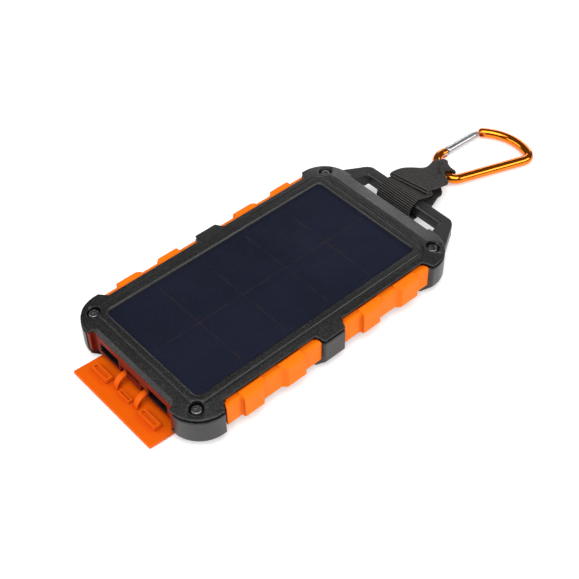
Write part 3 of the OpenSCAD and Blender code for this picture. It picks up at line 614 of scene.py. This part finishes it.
base = np.array([13 + 8 * math.cos(LEAN), 8 - 8 * math.sin(LEAN)])
line = [tuple(base + 2.87 * np.array([math.sin(LEAN), math.cos(LEAN)]) * t) for t in (1.0, 0.66, 0.33)]
line += arc((13, 8), 8, 342.3, 270, 18)
line += [(13 - 8.5 * t, 0.0) for t in (0.33, 0.66)]
line += arc((4.5, 4.5), 4.5, 270, 180, 14)
line += [(0.0, 4.5 + 37.8 * t) for t in np.linspace(0, 1, 14)[1:-1]]
line += arc((5.2, 42.3), 5.2, 180, 96, 16)
line += arc(TC, 24, 96, 27, 30)[1:]
line = np.array(line)
tang = np.gradient(line, axis=0)
tang /= np.linalg.norm(tang, axis=1)[:, None]
tang[0] = (-math.sin(LEAN), -math.cos(LEAN))
tang[-1] = (math.sin(math.radians(27)), -math.cos(math.radians(27)))
RR = 2.5
SIDES = 32
rows = []


def ring_at(p, t, r, squash=1.0):
    n = np.array([-t[1], t[0]])
    return [W(*(p + n * r * math.cos(a)), r * squash * math.sin(a)) for a in np.linspace(0, 2 * math.pi, SIDES, endpoint=False)]


# softly broken edge at the base's flat end
rows.append(ring_at(line[0] - tang[0] * 0.0, tang[0], RR - 0.35))
rows.append(ring_at(line[0] + tang[0] * 0.1, tang[0], RR - 0.1))
rows.append(ring_at(line[0] + tang[0] * 0.35, tang[0], RR))
for p, t in zip(line[1:], tang[1:]):
    rows.append(ring_at(p, t, RR))
end, te = line[-1], tang[-1]
for b in np.radians((18, 36, 54, 70, 82)):
    rows.append(ring_at(end + te * RR * math.sin(b), te, RR * math.cos(b)))
v, f = grid_mesh(np.array(rows), closed_v=True, caps=True)
cara = make("carabiner_rod", v, f, "anod", None, sharp=60, weighted=False)


def cutter(corners_uvw, name):
    """Closed box from 8 points (u, v, w)."""
    v = [W(*c) for c in corners_uvw]
    f = [(0, 1, 3, 2), (4, 6, 7, 5), (0, 4, 5, 1), (2, 3, 7, 6), (0, 2, 6, 4), (1, 5, 7, 3)]
    return make(name, v, f, "anod")


def gate_uv(a, b):
    """Point of the gate's own frame: a across, b along."""
    return (GB[0] + a * math.cos(LEAN) + b * math.sin(LEAN), GB[1] - a * math.sin(LEAN) + b * math.cos(LEAN))


def gate_box(a0, a1, b0, b1, w0, w1, name):
    c = [(*gate_uv(a, b), w) for a in (a0, a1) for b in (b0, b1) for w in (w0, w1)]
    return cutter(c, name)


def cut(o, tool):
    md = o.modifiers.new("cut", "BOOLEAN")
    md.operation = "DIFFERENCE"
    md.solver = "EXACT"
    md.object = tool
    bpy.context.view_layer.update()
    dg = bpy.context.evaluated_depsgraph_get()
    me = bpy.data.meshes.new_from_object(o.evaluated_get(dg))
    o.modifiers.clear()
    old = o.data
    o.data = me
    bpy.data.meshes.remove(old)
    bpy.data.objects.remove(tool)


for md in list(cara.modifiers):
    cara.modifiers.remove(md)
cut(cara, gate_box(-4, 4, -5, 3.8, -1.05, 1.05, "slot_tool"))
cut(cara, gate_box(-4, 4, GL - 1.2, GL + 2.0, -0.95, 0.95, "notch_tool"))


def soften(o, width, seg=2, angle=32, weld=0.0, skip=1.2):
    bm = bmesh.new()
    bm.from_mesh(o.data)
    bmesh.ops.scale(bm, vec=(1000,) * 3, verts=bm.verts)
    if weld:
        bmesh.ops.remove_doubles(bm, verts=bm.verts, dist=weld)
    bmesh.ops.dissolve_limit(bm, angle_limit=math.radians(0.5), verts=bm.verts, edges=bm.edges)
    pick = [e for e in bm.edges if len(e.link_faces) == 2 and e.calc_face_angle(0.0) > math.radians(angle) and e.calc_length() > width * skip]
    bmesh.ops.bevel(bm, geom=pick, offset=width, offset_type="OFFSET", segments=seg, profile=0.5, affect="EDGES", clamp_overlap=False, loop_slide=True)
    bmesh.ops.triangulate(bm, faces=[q for q in bm.faces if len(q.verts) > 4])
    bmesh.ops.scale(bm, vec=(MM,) * 3, verts=bm.verts)
    bm.to_mesh(o.data)
    bm.free()


soften(cara, 0.14, 2, 40, weld=0.02)
smooth(cara, 40)
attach(cara, "carabiner")
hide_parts("carabiner_body")

# gate: turned tube with a waisted hinge end, and a flat latch tip
prof = [(0.35, 1.25), (0.3, 1.75), (0.45, 2.02), (0.8, 2.17), (1.3, 2.2), (GL - 3.2, 2.2), (GL - 1.9, 2.16), (GL - 1.35, 2.0), (GL - 1.1, 1.7), (GL - 1.02, 1.2)]
rows = []
for b, r in prof:
    ring = []
    for a in np.linspace(0, 2 * math.pi, 32, endpoint=False):
        u, vv = gate_uv(r * math.cos(a), b)
        ring.append(W(u, vv, r * math.sin(a)))
    rows.append(ring)
v, f = grid_mesh(np.array(rows), closed_v=True, caps=True)
gverts, gfaces = list(v), list(f)


def add_prism(outline, w0, w1):
    """A flat plate in the gate's frame, from an outline of (a, b) points."""
    k = len(gverts)
    n = len(outline)
    for w in (w0, w1):
        for a, b in outline:
            gverts.append(W(*gate_uv(a, b), w))
    gfaces.append(tuple(range(k, k + n)))
    gfaces.append(tuple(range(k + 2 * n - 1, k + n - 1, -1)))
    for i in range(n):
        gfaces.append((k + i, k + (i + 1) % n, k + n + (i + 1) % n, k + n + i))


tang_out = [(-1.45, 1.0), (-1.45, -3.0)] + [(1.45 * math.cos(t), -3.0 + 1.45 * math.sin(t)) for t in np.radians(np.linspace(200, 340, 9))] + [(1.45, -3.0), (1.45, 1.0)]
add_prism(tang_out, -0.75, 0.75)
add_prism([(-1.3, GL - 1.4), (1.3, GL - 1.4), (1.3, GL + 0.7), (1.0, GL + 1.0), (-1.0, GL + 1.0), (-1.3, GL + 0.7)], -0.65, 0.65)
gate = make("carabiner_gate_tube", gverts, gfaces, "silver", "gate", sharp=38)
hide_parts("carabiner_gate")

# rivet heads of the gate pin, set into both cheeks
pin = JOINTS["gate_hinge"]["pos_m"]
pu = 21.65 - 0.88
pv = 8.9 - 2.9
rows = []
for w, r in [(-2.42, 0.5), (-2.4, 0.85), (-2.2, 1.0), (-2.0, 0.8), (2.0, 0.8), (2.2, 1.0), (2.4, 0.85), (2.42, 0.5)]:
    rows.append([W(pu + r * math.cos(a), pv + r * math.sin(a), w) for a in np.linspace(0, 2 * math.pi, 20, endpoint=False)])
v, f = grid_mesh(np.array(rows), closed_v=True, caps=True)
rivet = make("gate_rivet", v, f, "steel", "carabiner", sharp=45)
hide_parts("gate_pin")

# ------------------------------------------------------------------ strap
sw = JOINTS["strap_swing"]["pos_m"]
BY, BZ = sw[1] * 1000, sw[2] * 1000
MID_R = 5.16
XL, XR = -13.95, 7.55
ACROSS = 25


def flat_row(L, R, crown=0.0, wave=0.0, up=(0, 0, 1)):
    L, R, up = np.array(L, float), np.array(R, float), np.array(up, float)
    out = []
    for q in np.linspace(-1, 1, ACROSS):
        p = (L + R) / 2 + (R - L) / 2 * q
        out.append(p + up * (crown * (1 - q * q) + wave * math.cos(2 * math.pi * q)))
    return out


def cara_row(uL, uR, fwd, up, ear=0.0, wave=0.0):
    """Row across the carabiner's narrow end: fwd along the spine, up out of its plane."""
    out = []
    for q in np.linspace(-1, 1, ACROSS):
        u = (uL + uR) / 2 + (uR - uL) / 2 * q
        e = abs(q) ** 2.2 * (1.0 if q < 0 else 0.72)
        out.append(W(u, fwd + ear * e, up + wave * math.cos(2 * math.pi * q)))
    return out


rows = [
    # folded hem of the upper layer, then the layer itself
    flat_row((-14.2, 95.4, 16.2), (6.8, 99.6, 15.3)),
    flat_row((-14.25, 93.4, 16.75), (6.9, 97.4, 15.9)),
    flat_row((-14.3, 92.0, 17.6), (6.9, 96.0, 16.8)),
    flat_row((-14.3, 92.7, 18.6), (6.9, 96.7, 17.8)),
    flat_row((-14.4, 96.2, 18.1), (6.7, 99.6, 17.0), 0.3),
    flat_row((-14.3, 101.3, 16.5), (6.2, 103.2, 15.2), 0.6),
    flat_row((-13.6, 107.0, 14.0), (5.0, 107.6, 12.9), 0.8, -0.2),
    flat_row((-12.7, 112.5, 11.4), (3.9, 112.0, 10.7), 0.6, -0.45),
    flat_row((-13.0, 117.8, 9.2), (2.4, 116.6, 9.0), 0.3, -0.55),
    cara_row(13.6, 3.2, -3.2, 4.1, 0.4, -0.35),
    cara_row(13.3, 3.6, 0.0, 3.55, 1.3, -0.1),
]
for ph in (62, 35, 8, -20, -50):
    c, s = math.cos(math.radians(ph)), math.sin(math.radians(ph))
    rows.append(cara_row(13.3, 3.7, 3.38 * c, 3.38 * s, 2.3 * max(0.0, c) * (0.55 + 0.45 * s)))
# lower layer, its right side lifted
rows += [
    cara_row(13.3, 3.7, 0.2, -3.35),
    cara_row(13.5, 3.3, -4.0, -3.0, 0.0, 0.2),
    flat_row((-14.4, 114.6, 1.9), (3.2, 111.8, 4.6), -0.1, 0.2),
    flat_row((-14.3, 106.5, 3.1), (6.0, 105.2, 7.7), -0.3, 0.1),
    flat_row((-14.1, 99.0, 4.9), (7.8, 99.3, 7.3), -0.1),
    flat_row((XL, BY + 3.4, BZ - MID_R - 0.25), (XR, BY + 3.6, BZ - MID_R - 0.1)),
]
# round the bar, hanging slack on the slot's side
for ph in (-90, -112, -135, -158, 180, 158, 135, 112, 90, 68):
    c, s = math.cos(math.radians(ph)), math.sin(math.radians(ph))
    r = MID_R + 1.9 * max(0.0, math.cos(math.radians(ph + 150))) ** 1.6
    rows.append(flat_row((XL, BY + r * c, BZ + r * s), (XR, BY + r * c, BZ + r * s)))
rows += [
    flat_row((XL, BY + 3.5, BZ + 3.95), (XR, BY + 4.0, BZ + 3.85)),
    flat_row((XL - 0.1, BY + 7.2, BZ + 2.4), (XR - 0.6, BY + 7.9, BZ + 2.3)),
    flat_row((XL - 0.2, BY + 10.6, BZ + 1.0), (XR - 1.2, BY + 11.4, BZ + 0.9)),
]
fine = spline(np.array(rows), 14)
# even steps along the strap's own length
mid = fine[:, ACROSS // 2]
seglen = np.concatenate([[0], np.cumsum(np.linalg.norm(np.diff(mid, axis=0), axis=1))])
STEP = 0.19
want = np.arange(0, seglen[-1], STEP)
idx = np.interp(want, seglen, np.arange(len(seglen)))
i0 = np.minimum(idx.astype(int), len(fine) - 2)
fr = (idx - i0)[:, None, None]
grid = fine[i0] * (1 - fr) + fine[i0 + 1] * fr
for _ in range(3):
    grid[1:-1] = (grid[:-2] + 2 * grid[1:-1] + grid[2:]) / 4
ds = np.gradient(grid, axis=0)
dv = np.gradient(grid, axis=1)
nr = np.cross(dv, ds)
nr /= np.linalg.norm(nr, axis=2)[:, :, None] + 1e-12
q = np.linspace(-1, 1, ACROSS)[None, :, None]
rib = 0.12 * np.sin(2 * math.pi * want / 1.02)[:, None, None]
weft = 0.03 * np.sin(2 * math.pi * (q * 10.5) / 0.8) * np.cos(math.pi * want / 1.02)[:, None, None]
edge = 1 - np.clip((np.abs(q) - 0.9) / 0.1, 0, 1) ** 2 * 0.45
half_t = 0.56 * edge
top = grid + nr * (half_t + rib + weft)
bot = grid - nr * (half_t + rib + weft)
n, k = grid.shape[:2]
verts = np.concatenate([top.reshape(-1, 3), bot.reshape(-1, 3)])
width_mm = np.linspace(-10.75, 10.75, k)
faces, uvs = [], []


def face(idx4, st):
    faces.append(idx4[::-1])
    uvs.extend(st[::-1])


for i in range(n - 1):
    for jj in range(k - 1):
        a, b, c, d = i * k + jj, (i + 1) * k + jj, (i + 1) * k + jj + 1, i * k + jj + 1
        s0, s1, w0, w1 = want[i], want[i + 1], width_mm[jj], width_mm[jj + 1]
        face((a, b, c, d), [(s0, w0), (s1, w0), (s1, w1), (s0, w1)])
        face((a + n * k, d + n * k, c + n * k, b + n * k), [(s0, w0), (s0, w1), (s1, w1), (s1, w0)])
    for jj in (0, k - 1):
        a, b = i * k + jj, (i + 1) * k + jj
        s0, s1, w0 = want[i], want[i + 1], width_mm[jj]
        quad = (a, a + n * k, b + n * k, b)
        st = [(s0, w0), (s0, w0 + 0.5), (s1, w0 + 0.5), (s1, w0)]
        if jj:
            quad, st = quad[::-1], st[::-1]
        face(quad, st)
for i in (0, n - 1):
    for jj in range(k - 1):
        a, d = i * k + jj, i * k + jj + 1
        quad = (a, d, d + n * k, a + n * k)
        st = [(want[i], width_mm[jj]), (want[i], width_mm[jj + 1]), (want[i] + 0.5, width_mm[jj + 1]), (want[i] + 0.5, width_mm[jj])]
        if i:
            quad, st = quad[::-1], st[::-1]
        face(quad, st)
me = bpy.data.meshes.new("strap_webbing")
me.from_pydata([tuple(p * MM) for p in verts], [], faces)
layer = me.uv_layers.new(name="UVMap")
layer.data.foreach_set("uv", np.array(uvs, np.float32).ravel())
strap = link(bpy.data.objects.new("strap_webbing", me))
me.materials.append(M["web"])
smooth(strap, 70, False)
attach(strap, "strap")
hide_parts("lanyard_strap")

# ------------------------------------------------------------------ floor, lights, camera
fm = Mat("studio_floor")
fm.color(fm.mix(fm.span(fm.noise(2.5, 3.0, 0.5), 0.0, 1.0, 0.3, 0.7), (0.9, 0.9, 0.9), (0.92, 0.92, 0.92)))
fm.rough(fm.span(fm.noise(40.0), 0.7, 0.8, 0.3, 0.7))
fm.set(Emission_Color=(1.0, 1.0, 1.0, 1.0), Emission_Strength=0.34, Specular_IOR_Level=0.1)
bm = bmesh.new()
bmesh.ops.create_grid(bm, x_segments=8, y_segments=8, size=4.0)
me = bpy.data.meshes.new("floor")
bm.to_mesh(me)
bm.free()
floor = link(bpy.data.objects.new("floor", me))
floor.location = (0, 0, -0.0003)
me.materials.append(fm.m)

world = bpy.data.worlds.new("studio")
scene.world = world
world.use_nodes = True
bg = world.node_tree.nodes["Background"]
bg.inputs[0].default_value = (1.0, 1.0, 1.0, 1)
bg.inputs[1].default_value = 0.08


def softbox(name, at, aim, size, power, color=(1, 1, 1)):
    d = bpy.data.lights.new(name, "AREA")
    d.shape = "RECTANGLE"
    d.size, d.size_y = size
    d.energy = power
    d.color = color
    o = link(bpy.data.objects.new(name, d))
    o.location = at
    o.rotation_euler = (Vector(aim) - Vector(at)).to_track_quat("-Z", "Y").to_euler()
    return o


softbox("key_overhead", (0.45, -0.45, 1.5), (0.0, 0.02, 0.0), (1.5, 1.3), 26.0)
softbox("front_left", (-0.85, -1.25, 0.8), (0.0, 0.0, 0.02), (1.3, 0.6), 9.0)
softbox("back_low", (-0.95, 1.55, 0.6), (0.0, 0.05, 0.02), (1.3, 0.34), 7.0)
softbox("right_back", (1.3, 0.85, 0.95), (0.0, 0.03, 0.02), (1.2, 0.6), 12.0)

cam_data = bpy.data.cameras.new("camera")
cam_data.lens = 71.17
cam_data.sensor_width = 36.0
cam_data.clip_start = 0.01
cam_data.clip_end = 50.0
cam = link(bpy.data.objects.new("camera", cam_data))
right = Vector((0.66557, 0.74612, -0.01803))
up = Vector((-0.52910, 0.48874, 0.69367))
back = Vector((0.52637, -0.45215, 0.72006))
rot = Matrix((right, up, back)).transposed().to_4x4()
cam.matrix_world = Matrix.Translation((0.27759, -0.22548, 0.38302)) @ rot
scene.camera = cam
scene.view_settings.view_transform = "Standard"
scene.view_settings.look = "None"

bpy.context.view_layer.update()
